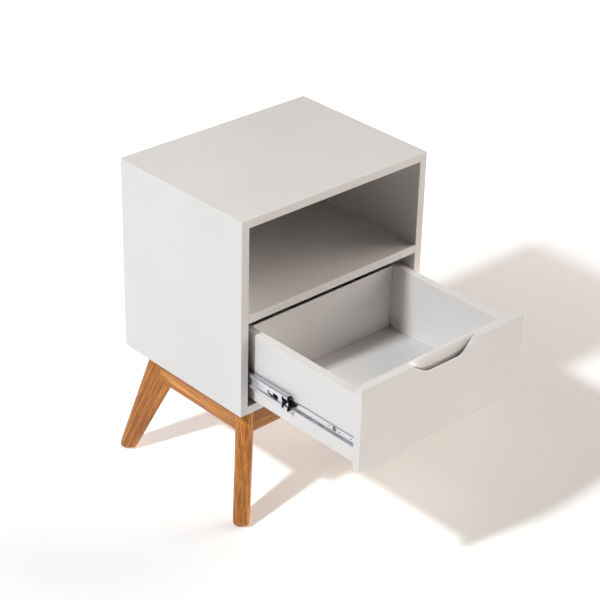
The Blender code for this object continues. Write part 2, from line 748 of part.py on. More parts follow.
def centre_on_footprint(root):
    """Move the root so that the origin is under the middle of the object."""
    bpy.context.view_layer.update()
    graph = bpy.context.evaluated_depsgraph_get()
    low = math.inf
    high = -math.inf
    for obj in bpy.data.objects:
        if obj.type == "MESH" and not obj.hide_render:
            evaluated = obj.evaluated_get(graph)
            for corner in evaluated.bound_box:
                y = (evaluated.matrix_world @ Vector(corner)).y
                low = min(low, y)
                high = max(high, y)
    root.location.y = -(low + high) / 2
    bpy.context.view_layer.update()


def main():
    clear_scene()
    materials = {
        "lacquer": make_material("off_white_lacquer", (0.76, 0.74, 0.71), 0.4),
        "wood": make_material("warm_oak", (0.52, 0.24, 0.09), 0.45),
        "dowel": make_material("beech_dowel", (0.62, 0.45, 0.27), 0.6),
        "steel": make_material("zinc_plated_steel", (0.68, 0.69, 0.72), 0.3, 1.0),
        "zinc": make_material("yellow_zinc_screw", (0.55, 0.45, 0.28), 0.35, 1.0),
        "plastic": make_material("black_plastic", (0.02, 0.02, 0.02), 0.5),
        "glide": make_material("brown_plastic", (0.30, 0.15, 0.07), 0.6),
    }
    root = make_empty("cabinet_root", (0, 0, 0))
    bodies = make_bodies(root)
    panels = add_carcass(materials, root)
    add_base(materials, panels, root)
    box_sides = add_drawer(materials, bodies["drawer"])
    for side, sign in SIDES.items():
        add_slide(side, sign, panels, box_sides, bodies, materials)
    centre_on_footprint(root)


main()
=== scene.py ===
"""Looks of the bedside cabinet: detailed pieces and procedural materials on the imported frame."""

import json
import math

import bmesh
import bpy
from mathutils import Matrix, Vector


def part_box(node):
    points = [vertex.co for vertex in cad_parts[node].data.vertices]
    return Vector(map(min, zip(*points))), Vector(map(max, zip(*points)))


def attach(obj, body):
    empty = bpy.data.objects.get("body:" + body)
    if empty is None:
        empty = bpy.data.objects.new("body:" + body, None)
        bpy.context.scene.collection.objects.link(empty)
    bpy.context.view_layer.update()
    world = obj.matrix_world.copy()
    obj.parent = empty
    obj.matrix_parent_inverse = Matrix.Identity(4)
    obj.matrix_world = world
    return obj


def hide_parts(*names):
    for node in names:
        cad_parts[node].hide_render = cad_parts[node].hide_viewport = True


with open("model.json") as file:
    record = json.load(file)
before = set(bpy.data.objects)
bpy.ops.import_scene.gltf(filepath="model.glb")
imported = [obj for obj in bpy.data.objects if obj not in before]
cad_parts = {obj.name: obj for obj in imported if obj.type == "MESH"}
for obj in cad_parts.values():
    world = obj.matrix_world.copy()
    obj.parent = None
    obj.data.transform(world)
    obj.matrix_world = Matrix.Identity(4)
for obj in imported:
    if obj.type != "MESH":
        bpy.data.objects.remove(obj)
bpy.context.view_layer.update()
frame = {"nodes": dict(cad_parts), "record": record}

# Carcass, from the CAD boxes.
SHELL_LOW, SHELL_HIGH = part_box("left_side_panel")
HALF_WIDTH = -SHELL_LOW.x
BOARD = SHELL_HIGH.x - SHELL_LOW.x
FRONT_Y = SHELL_LOW.y
BACK_Y = SHELL_HIGH.y
BASE_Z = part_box("bottom_panel")[0].z
TOP_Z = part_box("top_panel")[1].z
INNER_HALF = HALF_WIDTH - BOARD
SIDES = {"left": -1, "right": 1}

# The record's material slots.
LACQUER = "off_white_lacquer"
OAK = "warm_oak"
BEECH = "beech_dowel"
STEEL = "zinc_plated_steel"
SCREW_ZINC = "yellow_zinc_screw"
BLACK = "black_plastic"
BROWN = "brown_plastic"


# ------------------------------ node trees

# A Mix node's sockets for mixing colours. Others of its sockets have the same names.
MIX_SHARE = 0
MIX_FIRST = 6
MIX_SECOND = 7
MIX_RESULT = 2


def feed(tree, socket, value):
    """Links another node's output to a socket, or sets the socket's value."""
    if isinstance(value, bpy.types.NodeSocket):
        tree.links.new(value, socket)
    else:
        socket.default_value = value


def operate(tree, kind, operation, values):
    """A Math or VectorMath node working on the values."""
    node = tree.nodes.new("ShaderNode" + kind)
    node.operation = operation
    for socket, value in zip(node.inputs, values):
        feed(tree, socket, value)
    return node


def toned(tone, factor):
    """A tone made lighter or darker."""
    return tuple(min(factor * c, 1.0) for c in tone)


class Nodes:
    """A short way to build a material's node tree."""

    def __init__(self, name):
        self.material = bpy.data.materials.new(name)
        self.material.use_nodes = True
        self.tree = self.material.node_tree
        self.shader = self.tree.nodes["Principled BSDF"]

    def add(self, kind, settings=None, **inputs):
        """A new node. An input's name has _ where its socket has a space."""
        node = self.tree.nodes.new("ShaderNode" + kind)
        for key, value in (settings or {}).items():
            setattr(node, key, value)
        for key, value in inputs.items():
            feed(self.tree, node.inputs[key.replace("_", " ")], value)
        return node

    def set(self, **inputs):
        """Sets or links the shader's inputs."""
        for key, value in inputs.items():
            feed(self.tree, self.shader.inputs[key.replace("_", " ")], value)

    def place(self, scale=(1, 1, 1)):
        """Object coordinates, stretched by the scale."""
        source = self.add("TexCoord").outputs["Object"]
        return self.add("Mapping", None, Vector=source, Scale=scale).outputs["Vector"]

    def along_grain(self, stretch):
        """The piece's stored grain coordinates, stretched along the grain."""
        source = self.add("Attribute", {"attribute_name": "grain"}).outputs["Vector"]
        return self.add("Mapping", None, Vector=source, Scale=(1, 1, stretch)).outputs["Vector"]

    def noise(self, where, scale, detail=3.0, roughness=0.5):
        """Cloudy values from 0 to 1."""
        inputs = {"Vector": where, "Scale": scale, "Detail": detail, "Roughness": roughness}
        return self.add("TexNoise", None, **inputs).outputs["Fac"]

    def span(self, value, low, high, to_low, to_high):
        """Maps a value from one range to another, clamped."""
        node = self.add("MapRange", {"clamp": True})
        names = ("Value", "From Min", "From Max", "To Min", "To Max")
        for key, number in zip(names, (value, low, high, to_low, to_high)):
            feed(self.tree, node.inputs[key], number)
        return node.outputs["Result"]

    def math(self, operation, *values):
        return operate(self.tree, "Math", operation, values).outputs["Value"]

    def vector_math(self, operation, *values):
        return operate(self.tree, "VectorMath", operation, values).outputs

    def mix(self, share, first, second, blend="MIX"):
        """A share of the second colour over the first."""
        node = self.add("Mix", {"data_type": "RGBA", "blend_type": blend})
        feed(self.tree, node.inputs[MIX_SHARE], share)
        for index, colour in ((MIX_FIRST, first), (MIX_SECOND, second)):
            if not isinstance(colour, bpy.types.NodeSocket):
                colour = (*colour, 1)
            feed(self.tree, node.inputs[index], colour)
        return node.outputs[MIX_RESULT]

    def bump(self, height, strength, distance):
        """Raises the surface by a height."""
        node = self.add("Bump", None, Height=height, Strength=strength, Distance=distance)
        self.set(Normal=node.outputs["Normal"])

    def edge_highlight(self, radius, share):
        """The share of painted highlight: full on edges and nothing on flats."""
        rounded = self.add("Bevel", {"samples": 4}, Radius=radius).outputs["Normal"]
        flat = self.add("NewGeometry").outputs["Normal"]
        facing = self.vector_math("DOT_PRODUCT", rounded, flat)["Value"]
        return self.span(facing, 0.85, 1.0, share, 0.0)


# ------------------------------ materials

# Painted shade: narrow gaps between lacquered boards are darkened in the colour, beyond what the light
# alone makes them.
PAINTED_GAP_SHADE_TONE = (0.13, 0.105, 0.09)
PAINTED_GAP_SHADE_REACH = 0.04
PAINTED_GAP_SHADE_SHARE = 0.75


def lacquer_material(name, tone):
    """Satin lacquer with a fine orange peel, a painted highlight on its edges and painted shade in
    narrow gaps.
    """
    n = Nodes(name)
    where = n.place()
    cloud = n.noise(where, scale=5.0, detail=2.0)
    speck = n.noise(where, scale=700.0, detail=2.0, roughness=0.6)
    haze = n.noise(where, scale=60.0, detail=4.0)
    peel = n.noise(where, scale=330.0, detail=2.0, roughness=0.4)
    base = n.mix(n.span(cloud, 0.3, 0.7, 0.0, 1.0), toned(tone, 0.965), toned(tone, 1.02))
    base = n.mix(n.span(speck, 0.35, 0.65, 0.0, 0.10), base, toned(tone, 0.9))
    # Painted highlight: edges are paler.
    base = n.mix(n.edge_highlight(0.0009, share=0.35), base, toned(tone, 1.07))
    # Painted shade: ambient occlusion darkens the colour in narrow gaps.
    openness = n.add("AmbientOcclusion", {"samples": 8}, Distance=PAINTED_GAP_SHADE_REACH).outputs["AO"]
    base = n.mix(n.span(openness, 0.12, 0.42, PAINTED_GAP_SHADE_SHARE, 0.0), base, PAINTED_GAP_SHADE_TONE)
    n.set(Base_Color=base, Roughness=n.span(haze, 0.3, 0.7, 0.34, 0.44), Specular_IOR_Level=0.45)
    n.bump(peel, strength=0.05, distance=0.0006)
    return n.material


RING_SWAY = 0.030


def wood_material(name, light, middle, dark):
    """Hardwood: growth rings round the grain's axis, with fibres, patches and pores."""
    n = Nodes(name)
    bend = n.noise(n.along_grain(0.10), scale=14.0, detail=2.0)
    sway = n.add("CombineXYZ", None, X=bend, Y=bend).outputs["Vector"]
    spread = (RING_SWAY, RING_SWAY, 0.0)
    ring_place = n.vector_math("MULTIPLY_ADD", sway, spread, n.along_grain(0.05))["Vector"]
    rings = n.add(
        "TexWave",
        {"wave_type": "RINGS", "rings_direction": "Z", "wave_profile": "SAW"},
        Vector=ring_place,
        Scale=46.0,
        Distortion=1.6,
        Detail=3.0,
        Detail_Scale=1.4,
    ).outputs["Fac"]
    fibres = n.noise(n.along_grain(0.035), scale=420.0, detail=4.0, roughness=0.65)
    patches = n.noise(n.along_grain(0.25), scale=16.0, roughness=0.55)
    pores = n.span(n.noise(n.along_grain(0.045), scale=1500.0, detail=2.0), 0.56, 0.68, 0.0, 1.0)
    tone = n.mix(n.span(rings, 0.05, 0.95, 0.0, 1.0), light, middle)
    tone = n.mix(n.span(patches, 0.42, 0.68, 0.0, 0.60), tone, dark)
    tone = n.mix(n.span(fibres, 0.42, 0.64, 0.0, 0.85), tone, dark)
    tone = n.mix(n.math("MULTIPLY", pores, 0.55), tone, toned(dark, 0.45))
    # Painted highlight: edges are lighter.
    tone = n.mix(n.edge_highlight(0.003, share=0.25), tone, toned(light, 1.12))
    # Painted shade and tone per piece: the object colour multiplies the wood.
    piece_tone_and_shade = n.add("ObjectInfo").outputs["Color"]
    n.set(Base_Color=n.mix(1.0, tone, piece_tone_and_shade, "MULTIPLY"), Specular_IOR_Level=0.4)
    n.set(Roughness=n.span(fibres, 0.3, 0.7, 0.36, 0.52))
    height = n.math("SUBTRACT", n.math("MULTIPLY", fibres, 0.6), pores)
    n.bump(height, strength=0.25, distance=0.00025)
    return n.material


def metal_material(name, tone, roughness):
    """Plated sheet steel with fine rolling lines along Y."""
    n = Nodes(name)
    lines = n.noise(n.place((1, 0.02, 1)), scale=1800.0, roughness=0.6)
    cloud = n.noise(n.place(), scale=90.0)
    base = n.mix(n.span(lines, 0.35, 0.65, 0.0, 1.0), toned(tone, 0.95), tone)
    # Painted highlight: edges are paler grey.
    base = n.mix(n.edge_highlight(0.0002, share=0.3), base, (0.9, 0.9, 0.9))
    n.set(Base_Color=base, Metallic=1.0)
    n.set(Roughness=n.span(cloud, 0.3, 0.7, roughness - 0.04, roughness + 0.05))
    n.bump(lines, strength=0.015, distance=0.0001)
    return n.material


def plastic_material(name, tone, roughness):
    """Moulded plastic with a fine spark-eroded texture."""
    n = Nodes(name)
    grain = n.noise(n.place(), scale=2600.0, detail=2.0)
    speck_and_highlight_tone = tuple(1.8 * c + 0.004 for c in tone)
    base = n.mix(n.span(grain, 0.4, 0.7, 0.0, 0.3), tone, speck_and_highlight_tone)
    # Painted highlight: edges are paler.
    base = n.mix(n.edge_highlight(0.0003, share=0.5), base, speck_and_highlight_tone)
    n.set(Base_Color=base, Specular_IOR_Level=0.1)
    n.set(Roughness=n.span(grain, 0.3, 0.7, roughness - 0.08, roughness + 0.08))
    n.bump(grain, strength=0.1, distance=0.0001)
    return n.material


MATERIALS = {
    LACQUER: lacquer_material("lacquer_satin", (0.732, 0.713, 0.700)),
    OAK: wood_material("hardwood_oiled", (0.93, 0.40, 0.088), (0.58, 0.21, 0.04), (0.24, 0.074, 0.018)),
    BEECH: wood_material("beech_raw", (0.68, 0.50, 0.33), (0.60, 0.43, 0.27), (0.45, 0.30, 0.18)),
    STEEL: metal_material("steel_zinc_plated", (0.79, 0.80, 0.84), 0.34),
    SCREW_ZINC: metal_material("steel_yellow_zinc", (0.34, 0.25, 0.16), 0.38),
    BLACK: plastic_material("plastic_black", (0.003, 0.003, 0.004), 0.6),
    BROWN: plastic_material("plastic_brown", (0.20, 0.10, 0.05), 0.6),
}


def set_cad_materials():
    """Gives each CAD node the material of its slot in the record."""
    slots = {entry["node"]: entry["material_slot"] for entry in frame["record"]["subparts"]}
    for node, obj in frame["nodes"].items():
        for slot in obj.material_slots:
            slot.material = MATERIALS[slots[node]]


# ------------------------------ shapes


def loft(rings):
    """A bmesh through equal rings of points, with flat ends."""
    bm = bmesh.new()
    loops = [[bm.verts.new(point) for point in ring] for ring in rings]
    for first, second in zip(loops, loops[1:]):
        for index, vertex in enumerate(first):
            following = (index + 1) % len(first)
            bm.faces.new((vertex, first[following], second[following], second[index]))
    bm.faces.new(loops[0])
    bm.faces.new(loops[-1])
    return bm


def arc(centre, radius, start, end, steps):
    """Points on an arc, angles in degrees."""
    points = []
    for step in range(steps + 1):
        angle = math.radians(start + (end - start) * step / steps)
        points.append((centre[0] + radius * math.cos(angle), centre[1] + radius * math.sin(angle)))
    return points


def filleted(corners, steps=4):
    """A closed outline from (u, v, radius) corners, each rounded by its radius."""
    outline = []
    for index, (u, v, radius) in enumerate(corners):
        corner = Vector((u, v))
        if radius == 0:
            outline.append((u, v))
            continue
        before = (Vector(corners[index - 1][:2]) - corner).normalized()
        after = (Vector(corners[(index + 1) % len(corners)][:2]) - corner).normalized()
        half = before.angle(after) / 2
        centre = corner + (before + after).normalized() * (radius / math.sin(half))
        first = corner + before * (radius / math.tan(half)) - centre
        last = corner + after * (radius / math.tan(half)) - centre
        start = math.degrees(math.atan2(first.y, first.x))
        sweep = (math.degrees(math.atan2(last.y, last.x)) - start + 180) % 360 - 180
        outline += arc(centre, radius, start, start + sweep, steps)
    return outline


def turned(profile, segments=32):
    """A bmesh turned about Z from (radius, height) points whose first and last lie on the axis."""
    bm = bmesh.new()
    first = bm.verts.new((0, 0, profile[0][1]))
    last = bm.verts.new((0, 0, profile[-1][1]))
    angles = [2 * math.pi * index / segments for index in range(segments)]
    rings = []
    for radius, height in profile[1:-1]:
        points = [(radius * math.cos(a), radius * math.sin(a), height) for a in angles]
        rings.append([bm.verts.new(point) for point in points])
    for index in range(segments):
        following = (index + 1) % segments
        bm.faces.new((first, rings[0][index], rings[0][following]))
        bm.faces.new((last, rings[-1][following], rings[-1][index]))
        for upper, lower in zip(rings, rings[1:]):
            bm.faces.new((upper[index], lower[index], lower[following], upper[following]))
    return bm


def block(low, high):
    """A box between two corners."""
    ring = [(low[0], low[1]), (high[0], low[1]), (high[0], high[1]), (low[0], high[1])]
    return loft([[(x, y, z) for x, y in ring] for z in (low[2], high[2])])


def along_x(outline, start, end):
    """A prism along X from (Y, Z) points."""
    return loft([[(x, y, z) for y, z in outline] for x in (start, end)])


def moved(bm, *place):
    """The shape, shifted."""
    bmesh.ops.translate(bm, vec=place, verts=bm.verts[:])
    return bm


def as_mesh(bm, name="work"):
    """The shape as a mesh. The bmesh is used up."""
    mesh = bpy.data.meshes.new(name)
    bm.to_mesh(mesh)
    bm.free()
    return mesh


def placed(name, data):
    """A new object in the scene."""
    obj = bpy.data.objects.new(name, data)
    bpy.context.scene.collection.objects.link(obj)
    return obj


def carved(bm, cutters):
    """The solid with the cutters taken out of it."""
    made = []
    for shape in [bm, *cutters]:
        bmesh.ops.recalc_face_normals(shape, faces=shape.faces[:])
        made.append(placed("work", as_mesh(shape)))
    for cutter in made[1:]:
        modifier = made[0].modifiers.new("cut", "BOOLEAN")
        modifier.operation = "DIFFERENCE"
        modifier.solver = "EXACT"
        modifier.object = cutter
    bpy.context.view_layer.update()
    evaluated = made[0].evaluated_get(bpy.context.evaluated_depsgraph_get())
    result = bmesh.new()
    result.from_mesh(evaluated.to_mesh())
    evaluated.to_mesh_clear()
    for obj in made:
        mesh = obj.data
        bpy.data.objects.remove(obj)
        bpy.data.meshes.remove(mesh)
    return result


def joined(shapes):
    """Several closed shapes in one bmesh."""
    together = bmesh.new()
    for shape in shapes:
        mesh = as_mesh(shape)
        together.from_mesh(mesh)
        bpy.data.meshes.remove(mesh)
    return together


# Painted light and shade on whole wooden pieces, multiplied into their colour: the front rail is
# darkened as painted shade for its place under the drawer, and the left legs are made lighter; the
# others are at 1.
PIECE_TONE_AND_PAINTED_SHADE = {
    "front_rail_moulded": 0.70,
    "front_left_leg_turned": 1.15,
    "rear_left_leg_turned": 1.04,
}
MERGE_DISTANCE = 1e-7
SHARP_ANGLE = math.radians(32)


def piece(name, bm, slot, body, nodes, grain=None):
    """A finished piece on a CAD body, from a mesh in the row frame.

    grain is the matrix from the row frame to the wood's own coordinates.
    """
    bmesh.ops.remove_doubles(bm, verts=bm.verts[:], dist=MERGE_DISTANCE)
    bmesh.ops.recalc_face_normals(bm, faces=bm.faces[:])
    mesh = as_mesh(bm, name)
    if grain:
        stored = [value for vertex in mesh.vertices for value in grain @ vertex.co]
        mesh.attributes.new("grain", "FLOAT_VECTOR", "POINT").data.foreach_set("vector", stored)
    mesh.shade_smooth()
    mesh.set_sharp_from_angle(angle=SHARP_ANGLE)
    mesh.materials.append(MATERIALS[slot])
    obj = placed(name, mesh)
    obj.modifiers.new("weighted_normals", "WEIGHTED_NORMAL").keep_sharp = True
    # The object colour carries the piece's tone and painted shade.
    shade = PIECE_TONE_AND_PAINTED_SHADE.get(name, 1.0)
    obj.color = (shade, shade, shade, 1)
    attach(obj, body)
    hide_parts(*nodes)


def grain_frame(heart, along, across):
    """The matrix into grain coordinates, whose Z runs along the grain from the tree's heart."""
    z = Vector(along).normalized()
    x = (Vector(across) - z * z.dot(Vector(across))).normalized()
    turn = Matrix((x, z.cross(x), z)).transposed().to_4x4()
    return (Matrix.Translation(Vector(heart)) @ turn).inverted()


# ------------------------------ carcass

EASE = 0.0008
CORNER_RADIUS = 0.0012
REBATE = 0.0075
BACK_BOARD = 0.006
JOINT_CORNERS = 4
SHELF_GAP = 0.00002


def panel_section():
    """One panel's section: distance in from its outer face, and Y. Its front edges are rounded."""
    section = arc((EASE, FRONT_Y + EASE), EASE, 180, 270, 4)
    section.append((CORNER_RADIUS, FRONT_Y))
    section += arc((BOARD - EASE, FRONT_Y + EASE), EASE, 270, 360, 4)
    step = BACK_Y - BACK_BOARD
    section += [(BOARD, step), (BOARD - REBATE, step), (BOARD - REBATE, BACK_Y)]
    section += [(CORNER_RADIUS, BACK_Y)] + arc((EASE, BACK_Y - EASE), EASE, 90, 180, 4)
    return section


def mitred_ring(turn):
    """The section at a mitre: distance along, distance in and Y, the outer corner rounded."""
    ring = []
    for inset, y in panel_section():
        reach = max(CORNER_RADIUS - inset, 0.0)
        along = inset + reach * (1 - math.sin(turn))
        depth = inset + reach * (1 - math.cos(turn))
        ring.append((along, depth, y))
    return ring


def panel(name, length, place):
    """A mitred panel. place turns (distance along, distance in, Y) into a point of the row frame."""
    turns = [math.radians(45 * step / JOINT_CORNERS) for step in range(JOINT_CORNERS, -1, -1)]
    ends = [mitred_ring(turn) for turn in turns]
    rings = [[place(along, depth, y) for along, depth, y in ring] for ring in ends]
    rings += [[place(length - along, depth, y) for along, depth, y in ring] for ring in reversed(ends)]
    piece(name + "_lacquered", loft(rings), LACQUER, "cabinet", [name])


def add_carcass():
    """Four mitred panels and the shelf between them."""
    height = TOP_Z - BASE_Z
    width = 2 * HALF_WIDTH
    for side, sign in SIDES.items():
        outer = sign * HALF_WIDTH
        panel(f"{side}_side_panel", height, lambda a, d, y: (outer - sign * d, y, BASE_Z + a))
    panel("top_panel", width, lambda a, d, y: (a - HALF_WIDTH, y, TOP_Z - d))
    panel("bottom_panel", width, lambda a, d, y: (a - HALF_WIDTH, y, BASE_Z + d))
    low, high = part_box("middle_shelf")
    corners = [(FRONT_Y, low.z, EASE), (high.y, low.z, 0), (high.y, high.z, 0), (FRONT_Y, high.z, EASE)]
    reach = INNER_HALF - SHELF_GAP
    shelf = along_x(filleted(corners), -reach, reach)
    piece("middle_shelf_lacquered", shelf, LACQUER, "cabinet", ["middle_shelf"])


# ------------------------------ base

# A leg's outline is measured inwards along the diagonal, from close to the carcass's corner.
LEG_THICKNESS = 0.028
LEG_OUTER_TOP = 0.0480
LEG_INNER_TOP = 0.1158
LEG_OUTER_SLOPE = 0.312
LEG_INNER_SLOPE = 0.497
LEG_EDGE_RADIUS = 0.008
LEG_EDGE_STEPS = 6
FOOT_RADIUS = 0.009
GLIDE_HEIGHT = 0.001
GLIDE_EASE = 0.0003
RAIL_INSET_SIDE = 0.0335
RAIL_FRONT = 0.030
RAIL_BACK = 0.270
RAIL_HEIGHT = 0.070
RAIL_THICKNESS = 0.020
RAIL_TOP_RADIUS = 0.0006
RAIL_LOWER_RADIUS = 0.012
RAIL_INNER_RADIUS = 0.003
BORE_RADIUS = 0.005
BORE_SHOULDER = 0.0022
SEAM = 0.0003

# The height at which a bore's cutter ends, below the rails.
BORE_MOUTH = 0.1

# The tree's heart beside each leg: how far in and across, and the change from leg to leg.
LEG_HEART = (0.082, 0.052)
LEG_HEART_STEP = (0.011, -0.009)
# The tree's heart beside each rail: in from the face, along and up, and the change from rail to rail.
RAIL_HEART = (0.05, 0.13, -0.017)
RAIL_HEART_STEP = (0.008, 0.21, -0.012)


def leg_ring(shrink):
    """The leg's outline, shrunk: distance in along the diagonal, and height from the carcass."""
    foot = GLIDE_HEIGHT + SEAM - BASE_Z + shrink
    outer_lean = math.atan(LEG_OUTER_SLOPE)
    inner_lean = math.atan(LEG_INNER_SLOPE)
    outer_top = LEG_OUTER_TOP + shrink / math.cos(outer_lean)
    inner_top = LEG_INNER_TOP - shrink / math.cos(inner_lean)
    radius = FOOT_RADIUS - shrink
    outer_reach = radius * (1 / math.cos(outer_lean) + LEG_OUTER_SLOPE)
    inner_reach = radius * (1 / math.cos(inner_lean) - LEG_INNER_SLOPE)
    outer_centre = (outer_top + LEG_OUTER_SLOPE * foot + outer_reach, foot + radius)
    inner_centre = (inner_top + LEG_INNER_SLOPE * foot - inner_reach, foot + radius)
    ring = [(outer_top - LEG_OUTER_SLOPE * SEAM, -SEAM)]
    ring += arc(outer_centre, radius, 180 - math.degrees(outer_lean), 270, 8)
    ring += arc(inner_centre, radius, 270, 360 - math.degrees(inner_lean), 6)
    ring.append((inner_top - LEG_INNER_SLOPE * SEAM, -SEAM))
    return ring


def leg_shape():
    """The leg about its own plane: inwards, across and up, with well rounded long edges."""
    flat = LEG_THICKNESS / 2 - LEG_EDGE_RADIUS
    turns = [math.radians(90 * step / LEG_EDGE_STEPS) for step in range(LEG_EDGE_STEPS + 1)]
    rings = []
    for sign, order in ((-1, reversed(turns)), (1, turns)):
        for turn in order:
            across = sign * (flat + LEG_EDGE_RADIUS * math.sin(turn))
            shrink = LEG_EDGE_RADIUS * (1 - math.cos(turn))
            rings.append([(inwards, across, z) for inwards, z in leg_ring(shrink)])
    return loft(rings)


def add_leg(name, corner, inward, index):
    """A leg at the corner where its rails' faces would meet, from its own place in the tree."""
    up = Vector((0, 0, 1))
    across = up.cross(inward)
    start = corner - inward * (RAIL_INSET_SIDE + RAIL_FRONT) / math.sqrt(2)
    turn = Matrix((inward, across, up)).transposed().to_4x4()
    bm = leg_shape()
    bmesh.ops.transform(bm, matrix=Matrix.Translation(start) @ turn, verts=bm.verts[:])
    heart_in, heart_across = (a + index * b for a, b in zip(LEG_HEART, LEG_HEART_STEP))
    heart = start + inward * heart_in + across * heart_across
    along = inward * (LEG_OUTER_SLOPE + LEG_INNER_SLOPE) / 2 + up
    piece(name + "_turned", bm, OAK, "cabinet", [name], grain_frame(heart, along, across))


def add_glide(name):
    """The plastic disc under a foot."""
    low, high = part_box(name)
    radius = (high.x - low.x) / 2
    profile = [(0, high.z), (radius - GLIDE_EASE, high.z), (radius, high.z - GLIDE_EASE)]
    profile += [(radius, GLIDE_EASE), (radius - GLIDE_EASE, 0), (0, 0)]
    disc = moved(turned(profile, 40), (low.x + high.x) / 2, (low.y + high.y) / 2, 0)
    piece(name + "_fine", disc, BROWN, "cabinet", [name])


def add_legs():
    """Four splayed legs and the glides under them."""
    ends = (("front", -1, RAIL_FRONT), ("rear", 1, RAIL_BACK))
    places = [(side, sign, *end) for side, sign in SIDES.items() for end in ends]
    for index, (side, sign, end, y_sign, rail_y) in enumerate(places):
        corner = Vector((sign * (HALF_WIDTH - RAIL_INSET_SIDE), FRONT_Y + rail_y, BASE_Z))
        inward = Vector((-sign, -y_sign, 0)).normalized()
        add_leg(f"{end}_{side}_leg", corner, inward, index)
        add_glide(f"{end}_{side}_glide")


def counterbore(screw):
    """The hole below a base screw's head."""
    low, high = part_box(screw)
    shoulder = low.z + BORE_SHOULDER
    profile = [(0, shoulder), (BORE_RADIUS, shoulder), (BORE_RADIUS, BORE_MOUTH), (0, BORE_MOUTH)]
    return moved(turned(profile), (low.x + high.x) / 2, (low.y + high.y) / 2, 0)


def rail_shape(outward, distance, half_length, middle):
    """A rail, mitred by the legs' flanks. distance is its face's distance from the base's middle."""
    corners = [
        (0, -SEAM, RAIL_TOP_RADIUS),
        (0, -RAIL_HEIGHT, RAIL_LOWER_RADIUS),
        (RAIL_THICKNESS, -RAIL_HEIGHT, RAIL_INNER_RADIUS),
        (RAIL_THICKNESS, -SEAM, RAIL_TOP_RADIUS),
    ]
    leg_reach = (LEG_THICKNESS / 2 + SEAM) * math.sqrt(2)
    rings = []
    for end in (-1, 1):
        ring = []
        for inset, z in filleted(corners, 8):
            reach = end * (half_length - leg_reach - inset)
            away = distance - inset
            x = outward[0] * away + outward[1] * reach
            y = outward[1] * away - outward[0] * reach
            ring.append((x, y + middle, z + BASE_Z))
        rings.append(ring)
    return loft(rings)


def add_rails():
    """Four rails between the legs, two of them bored for the screws up into the carcass."""
    half_width = HALF_WIDTH - RAIL_INSET_SIDE
    half_depth = (RAIL_BACK - RAIL_FRONT) / 2
    middle = FRONT_Y + (RAIL_FRONT + RAIL_BACK) / 2
    plans = (
        ("front", (0, -1), half_depth, half_width),
        ("back", (0, 1), half_depth, half_width),
        ("left", (-1, 0), half_width, half_depth),
        ("right", (1, 0), half_width, half_depth),
    )
    for index, (end, outward, distance, half_length) in enumerate(plans):
        bm = rail_shape(outward, distance, half_length, middle)
        screws = [f"base_screw_{end}_{side}" for side in SIDES]
        cutters = [counterbore(screw) for screw in screws if screw in frame["nodes"]]
        if cutters:
            bm = carved(bm, cutters)
        out = Vector((*outward, 0))
        along = Vector((outward[1], -outward[0], 0))
        inset, run, rise = (a + index * b for a, b in zip(RAIL_HEART, RAIL_HEART_STEP))
        heart = Vector((0, middle, BASE_Z + rise)) + out * (distance - inset) + along * run
        name = end + "_rail"
        piece(name + "_moulded", bm, OAK, "cabinet", [name], grain_frame(heart, along, out))


# ------------------------------ drawer

# The finger recess in the drawer front's top, from front to back: a lip, a groove, a rim and a
# cove rising to the back. Each HALF is half its length, at the front face, the lip and the rim.
NOTCH_CENTRE = -0.0020
NOTCH_RUN = 0.045
NOTCH_RUN_SOFT = 0.05
NOTCH_DEPTH = 0.0222
NOTCH_LIP = 0.0022
NOTCH_LIP_BEVEL = 0.0007
NOTCH_LIP_EASE = 0.0002
NOTCH_COVE_FRONT = 0.0080
NOTCH_COVE_BACK = 0.0144
NOTCH_HALF_FRONT = 0.0735
NOTCH_HALF_LIP = 0.0737
NOTCH_HALF_BACK = 0.0716
NOTCH_GROOVE_DEPTH = 0.0065
NOTCH_UNDERCUT = 0.0012
NOTCH_RIM_FACE = 0.0010
NOTCH_RIM_HEIGHT = 0.0022
NOTCH_RIM_RISE = 0.13
NOTCH_SOFT = 0.0006
NOTCH_COVE_CURVE = 1.6
NOTCH_COVE_STEPS = 8
NOTCH_STATIONS = 64
NOTCH_MARGIN = 0.002
END_TURNS = (0, 30, 60, 90)


def notch_depth(x, half_length):
    """A smooth bowl: nothing past the half length, and full depth past the run."""
    along = min(max((half_length - abs(x - NOTCH_CENTRE)) / NOTCH_RUN, 0.0), 1.0)
    eased = along * along * (1 + NOTCH_RUN_SOFT) / (along + NOTCH_RUN_SOFT)
    return NOTCH_DEPTH * math.sin(math.pi / 2 * eased)


